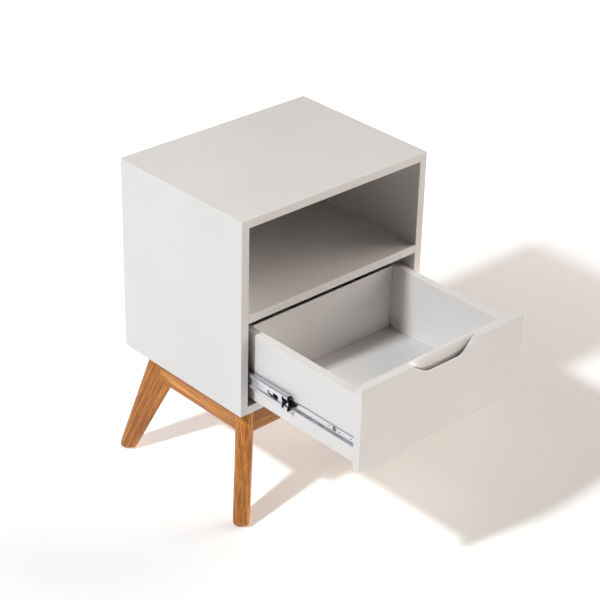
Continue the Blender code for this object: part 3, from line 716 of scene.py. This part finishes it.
def notch_section(x, top):
    """The recess at x, from the lip to the cove's end: distance back from the front, and Z."""
    edge, lip, rear = (
        notch_depth(x, half_length)
        for half_length in (NOTCH_HALF_FRONT, NOTCH_HALF_LIP, NOTCH_HALF_BACK)
    )
    share = rear / NOTCH_DEPTH
    share = share * share * (3 - 2 * share)
    soft = NOTCH_SOFT * share
    floor = top - lip - NOTCH_GROOVE_DEPTH * share
    rim = rear * (1 - NOTCH_RIM_RISE * share)
    under = NOTCH_COVE_FRONT + NOTCH_UNDERCUT * share
    section = [
        (NOTCH_LIP - NOTCH_LIP_BEVEL, top - (edge + lip) / 2),
        (NOTCH_LIP - NOTCH_LIP_EASE, top - lip - 0.2 * soft),
        (NOTCH_LIP, top - lip - soft),
        (NOTCH_LIP, floor),
        (under, floor),
        (under, top - rim - NOTCH_RIM_HEIGHT * share),
        (NOTCH_COVE_FRONT, top - rim - NOTCH_RIM_FACE * share),
        (NOTCH_COVE_FRONT, top - rim - 0.5 * soft),
        (NOTCH_COVE_FRONT + 0.3 * soft, top - rim),
    ]
    for step in range(1, NOTCH_COVE_STEPS + 1):
        part = step / NOTCH_COVE_STEPS
        back = NOTCH_COVE_FRONT + (NOTCH_COVE_BACK - NOTCH_COVE_FRONT) * part
        section.append((back, top - rim * (1 - part) ** NOTCH_COVE_CURVE))
    return section


def front_section(x, low, high):
    """The drawer front's section at x: Y and Z round the board, with the recess on top."""
    edge = notch_depth(x, NOTCH_HALF_FRONT)
    section = arc((low.y + EASE, low.z + EASE), EASE, 270, 180, 3)
    section += arc((low.y + EASE, high.z - edge - EASE), EASE, 180, 90, 4)
    section += [(low.y + back, z) for back, z in notch_section(x, high.z)]
    ease_back = high.y - low.y - NOTCH_COVE_BACK
    section += arc((low.y + NOTCH_COVE_BACK, high.z - ease_back), ease_back, 60, 0, 2)
    section += arc((high.y - EASE, low.z + EASE), EASE, 0, -90, 3)
    return section


def drawn_in(section, low, high, by):
    """A section of a box shrunk towards its middle, for a rounded end."""
    middle, half = (low + high) / 2, (high - low) / 2
    wide, tall = 1 - by / half.y, 1 - by / half.z
    return [(middle.y + (y - middle.y) * wide, middle.z + (z - middle.z) * tall) for y, z in section]


def add_drawer_front():
    """The front board with its rounded ends and the finger recess."""
    low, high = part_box("drawer_front")
    rings = []
    for turn in END_TURNS:
        inset = EASE * (1 - math.cos(math.radians(turn)))
        shrink = EASE * (1 - math.sin(math.radians(turn)))
        section = drawn_in(front_section(low.x + inset, low, high), low, high, shrink)
        rings.append([(low.x + inset, y, z) for y, z in section])
    far_end = [[(-x, y, z) for x, y, z in ring] for ring in reversed(rings)]
    reach = NOTCH_HALF_BACK + NOTCH_MARGIN
    for step in range(NOTCH_STATIONS + 1):
        x = NOTCH_CENTRE - reach * math.cos(math.pi * step / NOTCH_STATIONS)
        rings.append([(x, y, z) for y, z in front_section(x, low, high)])
    piece("drawer_front_lacquered", loft(rings + far_end), LACQUER, "drawer", ["drawer_front"])


TOP_EDGE_RADIUS = 0.0012
LAP_HEIGHT = 0.0053
LAP_WIDTH = 0.007
# The back's top is level for a little way and then falls towards the rear.
BACK_LEVEL = 0.0020
BACK_FALL = 0.0110
BACK_FRONT_RADIUS = 0.0008
BACK_REAR_RADIUS = 0.001
BOTTOM_BEVEL = 0.0006


def add_drawer_side(side, sign):
    """A side board, lapped along its lower edge for the bottom board."""
    name = f"drawer_{side}_side"
    low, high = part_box(name)
    outer = low.x if sign < 0 else high.x
    inner = outer - sign * BOARD
    lap = outer - sign * LAP_WIDTH
    corners = [
        (outer, low.z, EASE),
        (outer, high.z, TOP_EDGE_RADIUS),
        (inner, high.z, TOP_EDGE_RADIUS),
        (inner, low.z + LAP_HEIGHT, 0),
        (lap, low.z + LAP_HEIGHT, 0),
        (lap, low.z, 0),
    ]
    outline = filleted(corners)
    board = loft([[(x, y, z) for x, z in outline] for y in (low.y, high.y)])
    piece(name + "_lacquered", board, LACQUER, "drawer", [name])


def add_drawer_box():
    """The drawer's sides, back and bottom."""
    for side, sign in SIDES.items():
        add_drawer_side(side, sign)
    low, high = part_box("drawer_back")
    corners = [
        (low.y, low.z, 0),
        (low.y, high.z, BACK_FRONT_RADIUS),
        (low.y + BACK_LEVEL, high.z, BACK_FRONT_RADIUS),
        (high.y, high.z - BACK_FALL, BACK_REAR_RADIUS),
        (high.y, low.z, 0),
    ]
    back = along_x(filleted(corners), low.x, high.x)
    piece("drawer_back_lacquered", back, LACQUER, "drawer", ["drawer_back"])
    bm = block(*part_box("drawer_bottom"))
    edges = bm.edges[:]
    bmesh.ops.bevel(bm, geom=edges, offset=BOTTOM_BEVEL, segments=2, profile=0.5, affect="EDGES")
    piece("drawer_bottom_lacquered", bm, LACQUER, "drawer", ["drawer_bottom"])


# ------------------------------ slides

# T is the distance in from the side's inner face. Heights are about the slides' own level.
SLIDE_Z = sum(corner.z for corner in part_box("left_slide_cabinet_member")) / 2

# Where each detail starts and ends in T.
CABINET_WEB = (-0.002, 0.003)
MIDDLE_WEB = (0.0030, 0.0080)
DRAWER_WEB = (0.0080, 0.0130)
TAB_DEPTH = (0.0030, 0.0062)
CAP_DEPTH = (0.0019, 0.0042)
BUMPER_DEPTH = (0.0019, 0.0058)
SLOT_SHADE_SHEET_DEPTH = (0.0058, 0.0060)
NOSE_DEPTH = (0.0070, 0.0083)
ARM_DEPTH = (0.0072, 0.0080)

# Slots in the members: Y from the carcass's front, height, length along Y and radius.
CABINET_SLOTS = [(y, 0, 0, 0.0042) for y in (0.028, 0.250)]
CABINET_SLOTS += [(y, 0, 0.004, 0.0022) for y in (0.062, 0.118, 0.182)]
MIDDLE_SLOTS = [(y, 0, 0.008, 0.002) for y in (0.02, 0.09)]
DRAWER_SPOTS = ((-0.1780, 0.0006), (-0.1998, -0.0008), (-0.2250, -0.0008))
DRAWER_SLOTS = [(y, z, -0.001, 0.0011) for y, z in DRAWER_SPOTS]

# The hooked slot in the intermediate member: the bends of a narrow tail, then the corners of its
# wide end. Outlines from there on are (Y from the carcass's front, height, corner radius).
TAIL_RADIUS = 0.0017
SLOT_TAIL = [(-0.0434, 0.0010), (-0.0436, -0.0016), (-0.0455, -0.0030), (-0.0530, -0.0042)]
SLOT_WIDE = [
    (-0.0540, 0.0024, 0.0006),
    (-0.0600, 0.0026, 0.001),
    (-0.0645, 0.0016, 0.001),
    (-0.0664, -0.0004, 0.001),
    (-0.0664, -0.0036, 0.001),
    (-0.0640, -0.0067, 0.001),
    (-0.0525, -0.0054, 0.0006),
    (-0.0520, -0.0038, 0.0006),
    (-0.0548, -0.0026, 0.0006),
    (-0.0538, -0.0006, 0.0006),
]
TAB = [
    (-0.0880, -0.0145, 0.0006),
    (-0.0880, -0.0110, 0),
    (-0.0945, -0.0110, 0),
    (-0.0945, -0.0145, 0.0006),
]

# The end stop: a curved bumper, a plate over the intermediate member's end, and a thin black sheet
# behind the hooked slot as painted shade, so the slot looks dark.
BUMPER = [
    (-0.0778, 0.0090, 0.0006),
    (-0.0808, 0.0090, 0.0008),
    (-0.0824, 0.0052, 0.0008),
    (-0.0850, 0.0044, 0.0010),
    (-0.0876, 0.0018, 0.0012),
    (-0.0868, -0.0012, 0.0010),
    (-0.0822, -0.0062, 0.0008),
    (-0.0808, -0.0086, 0.0006),
    (-0.0826, -0.0104, 0.0005),
    (-0.0816, -0.0116, 0.0005),
    (-0.0784, -0.0116, 0.0008),
    (-0.0770, -0.0090, 0.0008),
    (-0.0794, -0.0026, 0.0008),
    (-0.0774, 0.0060, 0.0008),
]
CAP_PLATE = [
    (-0.0904, 0.0130, 0.0006),
    (-0.0904, 0.0066, 0.0010),
    (-0.0926, 0.0036, 0.0010),
    (-0.0928, -0.0026, 0.0010),
    (-0.0908, -0.0070, 0.0010),
    (-0.0902, -0.0128, 0.0008),
    (-0.0920, -0.0132, 0.0006),
    (-0.0952, -0.0098, 0.0010),
    (-0.0952, -0.0040, 0.0010),
    (-0.0940, 0.0100, 0.0010),
    (-0.0944, 0.0130, 0.0006),
]
SLOT_SHADE_SHEET = [
    (-0.0400, 0.0062, 0.001),
    (-0.0895, 0.0062, 0.001),
    (-0.0895, -0.0072, 0.001),
    (-0.0400, -0.0072, 0.001),
]
HOOP_REAR = FRONT_Y - 0.0908
HOOP_LENGTH = 0.0024

# The release lever: a nose that stands out in front of the cap and an arm behind the web.
LEVER_NOSE = [
    (-0.0905, 0.0054, 0.0010),
    (-0.0940, 0.0042, 0.0012),
    (-0.0996, 0.0026, 0.0012),
    (-0.1045, 0.0027, 0.0008),
    (-0.1073, 0.0022, 0.0004),
    (-0.1073, 0.0012, 0.0004),
    (-0.1015, -0.0014, 0.0016),
    (-0.0975, -0.0036, 0.0016),
    (-0.0950, -0.0056, 0.0010),
    (-0.0905, -0.0056, 0.0010),
]
LEVER_ARM = [
    (-0.0776, 0.0020, 0.0012),
    (-0.0930, 0.0034, 0.0008),
    (-0.0930, -0.0046, 0.0008),
    (-0.0776, -0.0040, 0.0012),
]

# Sections in (T, height, corner radius). The drawer's member has a rounded top edge, a flat web
# and a raceway curling out below.
DRAWER_SECTION = [
    (0.0124, 0.0052, 0),
    (0.0106, 0.0052, 0.0015),
    (0.0106, -0.0048, 0.0022),
    (0.0086, -0.0078, 0.0014),
    (0.0070, -0.0086, 0.0008),
    (0.0070, -0.0113, 0.0007),
    (0.0124, -0.0113, 0),
]
# The end cap's lip, which curls over a flange of the intermediate member.
HOOP = [
    (0.0019, 0.0110, 0),
    (0.0019, 0.0137, 0.0014),
    (0.0086, 0.0137, 0.0014),
    (0.0086, 0.0108, 0.0005),
    (0.0074, 0.0108, 0.0004),
    (0.0074, 0.0128, 0.0005),
    (0.0036, 0.0128, 0.0006),
    (0.0036, 0.0110, 0),
]

# The balls of the inner cage.
BALL_RADIUS = 0.0009
BALL_T = 0.0074
BALL_HEIGHTS = (-0.0108, 0.0108)
BALL_SHARES = (1 / 6, 3 / 6, 5 / 6)


def along_y(sign, outline, start, end):
    """A prism along Y from (T, height) points."""
    outline = [(sign * (INNER_HALF - t), SLIDE_Z + z) for t, z in outline]
    return loft([[(x, y, z) for x, z in outline] for y in (start, end)])


def through(sign, outline, depths):
    """A prism across the slide from (Y from the carcass's front, height) points."""
    outline = [(FRONT_Y + y, SLIDE_Z + z) for y, z in outline]
    near, far = (sign * (INNER_HALF - t) for t in depths)
    return along_x(outline, near, far)


def capsule(start, end, radius):
    """A rounded slot's outline between two centres."""
    turn = math.degrees(math.atan2(end[1] - start[1], end[0] - start[0]))
    return arc(start, radius, turn + 90, turn + 270, 8) + arc(end, radius, turn - 90, turn + 90, 8)


def slot_cutters(sign, slots, depths):
    """Cutters for rounded slots. A length of 0 makes a round hole."""
    outlines = [capsule((y, z), (y + length, z), radius) for y, z, length, radius in slots]
    return [through(sign, outline, depths) for outline in outlines]


def sheet_outline(web, flange, half, sheet, bend):
    """A folded channel with rounded bends: T of its web and flanges, half height, sheet and bend."""
    inner = web + math.copysign(sheet, flange - web)
    tip = sheet * 0.45
    return filleted(
        [
            (web, -half, bend),
            (flange, -half, tip),
            (flange, sheet - half, tip),
            (inner, sheet - half, bend - sheet),
            (inner, half - sheet, bend - sheet),
            (flange, half - sheet, tip),
            (flange, half, tip),
            (web, half, bend),
        ],
        5,
    )


def middle_outline():
    """The intermediate member: raised shoulders above and below a sunk web."""
    shoulder, web, tip = 0.0023, 0.0048, 0.0093
    half, step, sheet = 0.0130, 0.0070, 0.0009
    drop = 0.0006
    upper = [
        (web, step - drop, 0.0006),
        (shoulder, step, 0.0008),
        (shoulder, half, 0.0023),
        (tip, half, 0.0004),
        (tip, half - sheet, 0.0004),
        (shoulder + sheet, half - sheet, 0.0014),
        (shoulder + sheet, step + sheet, 0.0005),
        (web + sheet, step + sheet - drop, 0.0005),
    ]
    lower = [(t, -z, radius) for t, z, radius in reversed(upper)]
    return filleted(upper + lower, 5)


def add_cabinet_member(name, sign):
    """The channel screwed to the cabinet's side."""
    low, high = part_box(name)
    section = sheet_outline(web=0.0003, flange=0.0105, half=0.0175, sheet=0.001, bend=0.0030)
    cutters = slot_cutters(sign, CABINET_SLOTS, CABINET_WEB)
    channel = carved(along_y(sign, section, low.y, high.y), cutters)
    piece(name + "_folded", channel, STEEL, "cabinet", [name])


def add_intermediate_member(name, sign, body):
    """The member between the other two, with its hooked slot and the tab that holds the cap."""
    low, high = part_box(name)
    cutters = [through(sign, filleted(SLOT_WIDE, 3), MIDDLE_WEB)]
    for first, second in zip(SLOT_TAIL, SLOT_TAIL[1:]):
        cutters.append(through(sign, capsule(first, second, TAIL_RADIUS), MIDDLE_WEB))
    cutters += slot_cutters(sign, MIDDLE_SLOTS, MIDDLE_WEB)
    channel = carved(along_y(sign, middle_outline(), low.y, high.y), cutters)
    tab = through(sign, filleted(TAB, 3), TAB_DEPTH)
    piece(name + "_folded", joined([channel, tab]), STEEL, body, [name])


def add_inner_cage(name, sign, body):
    """The strip that keeps the inner balls apart, with its balls."""
    low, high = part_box(name)
    section = sheet_outline(web=0.0061, flange=0.0068, half=0.0112, sheet=0.0003, bend=0.0004)
    shapes = [along_y(sign, section, low.y, high.y)]
    for height in BALL_HEIGHTS:
        for share in BALL_SHARES:
            ball = bmesh.new()
            bmesh.ops.create_uvsphere(ball, u_segments=16, v_segments=10, radius=BALL_RADIUS)
            y = low.y + share * (high.y - low.y)
            shapes.append(moved(ball, sign * (INNER_HALF - BALL_T), y, SLIDE_Z + height))
    piece(name + "_fine", joined(shapes), STEEL, body, [name])


def add_end_stop(name, sign, body):
    """The black cap on the intermediate member's end: plate, two lips and bumper, with a black sheet of
    painted shade behind the hooked slot.
    """
    shapes = [through(sign, filleted(CAP_PLATE, 3), CAP_DEPTH)]
    for turn in (1, -1):
        outline = filleted([(t, turn * z, radius) for t, z, radius in HOOP])
        shapes.append(along_y(sign, outline, HOOP_REAR, HOOP_REAR - HOOP_LENGTH))
    shapes.append(through(sign, filleted(BUMPER, 3), BUMPER_DEPTH))
    # Painted shade: the black sheet makes the hooked slot look dark.
    shapes.append(through(sign, filleted(SLOT_SHADE_SHEET, 3), SLOT_SHADE_SHEET_DEPTH))
    piece(name + "_moulded", joined(shapes), BLACK, body, [name])


def add_drawer_member(name, sign):
    """The rolled member screwed to the drawer's side."""
    low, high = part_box(name)
    cutters = slot_cutters(sign, DRAWER_SLOTS, DRAWER_WEB)
    member = carved(along_y(sign, filleted(DRAWER_SECTION, 6), low.y, high.y), cutters)
    piece(name + "_rolled", member, STEEL, "drawer", [name])


def add_lever(name, sign, body):
    """The release lever in the drawer's member."""
    nose = through(sign, filleted(LEVER_NOSE), NOSE_DEPTH)
    arm = through(sign, filleted(LEVER_ARM, 3), ARM_DEPTH)
    piece(name + "_moulded", joined([nose, arm]), BLACK, body, [name])


def add_slides():
    """Both slides. Their outer ball cages are hidden and stay as they are in the CAD."""
    for side, sign in SIDES.items():
        start = side + "_slide_"
        middle = side + "_intermediate"
        add_cabinet_member(start + "cabinet_member", sign)
        add_intermediate_member(start + "intermediate_member", sign, middle)
        add_inner_cage(start + "inner_ball_cage", sign, side + "_inner_cage")
        add_end_stop(start + "end_stop", sign, middle)
        add_drawer_member(start + "drawer_member", sign)
        add_lever(start + "release_lever", sign, side + "_lever")


# ------------------------------ screws

# A screw's head by the first of these words in its name: radius, height, sunk or not, and body.
SCREW_HEADS = {
    "base": (0.0040, 0.0025, False, "cabinet"),
    "back": (0.0030, 0.0012, True, "cabinet"),
    "cabinet": (0.0039, 0.0010, True, "cabinet"),
    "drawer": (0.0047, 0.0021, False, "drawer"),
}
SHANK_SHARE = 0.52
SUNK_DEPTH = 0.0016
TIP_LENGTH = 0.003
DOME_STEPS = 5
DOME_SHARE = 0.75
CROSS_REACH = 0.62
CROSS_HALF_WIDTH = 0.13
CROSS_DEPTH = 0.0011
CROSS_POINT = 0.0005
CROSS_TURN = math.radians(27)


def radial(point, middle, axis):
    """A point's distance from the line along an axis through the middle."""
    return math.hypot(*(point[index] - middle[index] for index in range(3) if index != axis))


def screw_profile(radius, height, sunk, length):
    """(radius, height) points down a screw from the middle of its head to its tip."""
    shank = radius * SHANK_SHARE
    if sunk:
        profile = [(0, 0), (radius * 0.96, 0), (radius, -0.0002), (shank, -SUNK_DEPTH)]
    else:
        profile = [(0, 0)]
        for step in range(1, DOME_STEPS + 1):
            turn = math.radians(90 * step / DOME_STEPS)
            fall = height * DOME_SHARE * (1 - math.cos(turn))
            profile.append((radius * math.sin(turn), -fall))
        profile += [(radius, -height), (shank, -height)]
    return profile + [(shank, TIP_LENGTH - length), (0, -length)]


def cross_cutters(radius):
    """The two bars and the point of a cross recess."""
    above = 0.001
    arm, thick = radius * CROSS_REACH, radius * CROSS_HALF_WIDTH
    core = thick * 1.7
    return [
        block((-arm, -thick, -CROSS_DEPTH), (arm, thick, above)),
        block((-thick, -arm, -CROSS_DEPTH), (thick, arm, above)),
        turned([(0, above), (core, above), (core, -CROSS_DEPTH), (0, -CROSS_DEPTH - CROSS_POINT)], 12),
    ]


def add_screw(name, radius, height, sunk, body):
    """A screw with a domed or flat head and a cross recess, where the CAD screw stands."""
    low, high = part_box(name)
    size, middle = high - low, (low + high) / 2
    axis = max(range(3), key=lambda index: size[index])
    points = [vertex.co for vertex in frame["nodes"][name].data.vertices]
    widest = max(points, key=lambda point: radial(point, middle, axis))
    forward = widest[axis] > middle[axis]
    screw = carved(turned(screw_profile(radius, height, sunk, size[axis]), 36), cross_cutters(radius))
    out = Vector((0, 0, 0))
    out[axis] = 1 if forward else -1
    top = middle.copy()
    top[axis] = high[axis] if forward else low[axis]
    turn = Vector((0, 0, 1)).rotation_difference(out).to_matrix().to_4x4()
    own = Matrix.Translation(top) @ turn @ Matrix.Rotation(CROSS_TURN, 4, "Z")
    bmesh.ops.transform(screw, matrix=own, verts=screw.verts[:])
    piece(name + "_phillips", screw, SCREW_ZINC, body, [name])


def add_screws():
    """Every screw in the frame."""
    for name in sorted(frame["nodes"]):
        if "_screw" in name:
            kind = next(word for word in SCREW_HEADS if word in name)
            add_screw(name, *SCREW_HEADS[kind])


# ------------------------------ stage, light, camera

FLOOR_LOW = (-1.7, -1.6)
FLOOR_HIGH = (3.6, 3.6)
FLOOR_TONE = (0.93, 0.93, 0.925)

# Painted light: the floor glows to lift its shadows, strong behind the left legs and weak under the
# drawer, and strong far out to whiten the distant floor.
GLOW_COLOUR = (1.0, 0.97, 0.95)
GLOW_PLACE = (-0.20, 0.35, 0.0)
GLOW_NEAR_SPAN = (0.08, 0.42)
GLOW_NEAR = 0.42
GLOW_BASE = 0.09
GLOW_FAR_SPAN = (0.5, 2.6)
GLOW_FAR = 0.80


def add_floor():
    """A pale floor that fills the view and ends a little way in front of the cabinet."""
    bm = bmesh.new()
    (left, front), (right, rear) = FLOOR_LOW, FLOOR_HIGH
    corners = [(left, front), (right, front), (right, rear), (left, rear)]
    bm.faces.new([bm.verts.new((x, y, 0)) for x, y in corners])
    floor = placed("floor", as_mesh(bm, "floor"))
    n = Nodes("floor_paper")
    where = n.place()
    tone = n.mix(n.noise(where, scale=1.5, detail=2.0), FLOOR_TONE, toned(FLOOR_TONE, 0.99))
    n.set(Base_Color=tone, Roughness=0.9, Specular_IOR_Level=0.1)
    behind = n.vector_math("DISTANCE", where, GLOW_PLACE)["Value"]
    away = n.vector_math("LENGTH", where)["Value"]
    # Painted light: the glow brightens the floor's shadows near the cabinet and the far floor.
    near = n.span(behind, *GLOW_NEAR_SPAN, GLOW_NEAR, GLOW_BASE)
    far = n.span(away, *GLOW_FAR_SPAN, 0.0, GLOW_FAR)
    n.set(Emission_Color=(*GLOW_COLOUR, 1), Emission_Strength=n.math("ADD", near, far))
    floor.data.materials.append(n.material)


KEY_PLACE = Vector((-2.20, 0.072, 2.346))
KEY_AIM = Vector((0.0, 0.07, 0.35))
KEY_SIZE = 0.21
KEY_COLOUR = (0.93, 0.97, 1.0)
KEY_POWER = 73.5
KEY_DISTANCE = 2.95


def add_key():
    """A round lamp up on the left, fading linearly. At KEY_DISTANCE it is as bright as a plain one."""
    light = bpy.data.lights.new("key", "AREA")
    light.shape = "DISK"
    light.size = KEY_SIZE
    light.energy = KEY_POWER
    light.color = KEY_COLOUR
    light.use_nodes = True
    tree = light.node_tree
    fading = tree.nodes.new("ShaderNodeLightFalloff")
    fading.inputs["Strength"].default_value = 1 / KEY_DISTANCE
    feed(tree, tree.nodes["Emission"].inputs["Strength"], fading.outputs["Linear"])
    lamp = placed("key", light)
    lamp.location = KEY_PLACE
    lamp.rotation_euler = (KEY_PLACE - KEY_AIM).to_track_quat("Z", "Y").to_euler()


FILL_AZIMUTH = -15.0
FILL_ELEVATION = 13.5
FILL_TIGHTNESS = 9.0
FILL_COLOUR = (1.0, 0.925, 0.845)
FILL_STRENGTH = 8.3
AMBIENT = 0.03


def direction_of(azimuth, elevation):
    """A unit vector, with azimuth measured from +X towards +Y, in degrees."""
    turn, rise = math.radians(azimuth), math.radians(elevation)
    return Vector((math.cos(turn) * math.cos(rise), math.sin(turn) * math.cos(rise), math.sin(rise)))


def add_world():
    """A warm soft glow low on the right lights the scene, and the camera sees plain white."""
    world = bpy.data.worlds.new("studio")
    world.use_nodes = True
    bpy.context.scene.world = world
    tree = world.node_tree
    nodes = tree.nodes

    def math_node(operation, *values):
        return operate(tree, "Math", operation, values).outputs["Value"]

    sight = nodes.new("ShaderNodeTexCoord").outputs["Generated"]
    centre = direction_of(FILL_AZIMUTH, FILL_ELEVATION)
    facing = operate(tree, "VectorMath", "DOT_PRODUCT", (sight, centre)).outputs["Value"]
    falloff = math_node("MULTIPLY_ADD", facing, FILL_TIGHTNESS, -FILL_TIGHTNESS)
    strength = math_node("MULTIPLY_ADD", math_node("EXPONENT", falloff), FILL_STRENGTH, AMBIENT)
    lit = nodes["Background"]
    lit.inputs["Color"].default_value = (*FILL_COLOUR, 1)
    feed(tree, lit.inputs["Strength"], strength)
    seen = nodes.new("ShaderNodeBackground")
    seen.inputs["Color"].default_value = (1, 1, 1, 1)
    choice = nodes.new("ShaderNodeMixShader")
    is_camera = nodes.new("ShaderNodeLightPath").outputs["Is Camera Ray"]
    for socket, value in zip(choice.inputs, (is_camera, lit.outputs[0], seen.outputs[0])):
        feed(tree, socket, value)
    feed(tree, nodes["World Output"].inputs["Surface"], choice.outputs[0])


# The camera's angles in degrees, and its place from the carcass's lower front left corner.
CAMERA_AZIMUTH = -43.04
CAMERA_ELEVATION = 29.425
CAMERA_ROLL = 1.446
CAMERA_OFFSET = Vector((-1.6087, -1.8549, 1.6036))
CAMERA_LENS = 109.565
CAMERA_SENSOR = 36.0
CAMERA_CLIP = (0.1, 50.0)


def add_camera():
    """The camera. Azimuth is how far it stands round from the front, towards the right."""
    data = bpy.data.cameras.new("camera")
    data.lens = CAMERA_LENS
    data.sensor_width = CAMERA_SENSOR
    data.clip_start, data.clip_end = CAMERA_CLIP
    camera = placed("camera", data)
    azimuth, roll = math.radians(CAMERA_AZIMUTH), math.radians(CAMERA_ROLL)
    back = direction_of(CAMERA_AZIMUTH - 90, CAMERA_ELEVATION)
    level = Vector((math.cos(azimuth), math.sin(azimuth), 0))
    up = back.cross(level)
    right = level * math.cos(roll) + up * math.sin(roll)
    turn = Matrix((right, back.cross(right), back)).transposed().to_4x4()
    corner = Vector((-HALF_WIDTH, FRONT_Y, BASE_Z))
    camera.matrix_world = Matrix.Translation(corner + CAMERA_OFFSET) @ turn
    bpy.context.scene.camera = camera


# ------------------------------ scene

set_cad_materials()
add_carcass()
add_legs()
add_rails()
add_drawer_front()
add_drawer_box()
add_slides()
add_screws()
add_floor()
add_key()
add_world()
add_camera()
bpy.context.scene.view_settings.view_transform = "Standard"
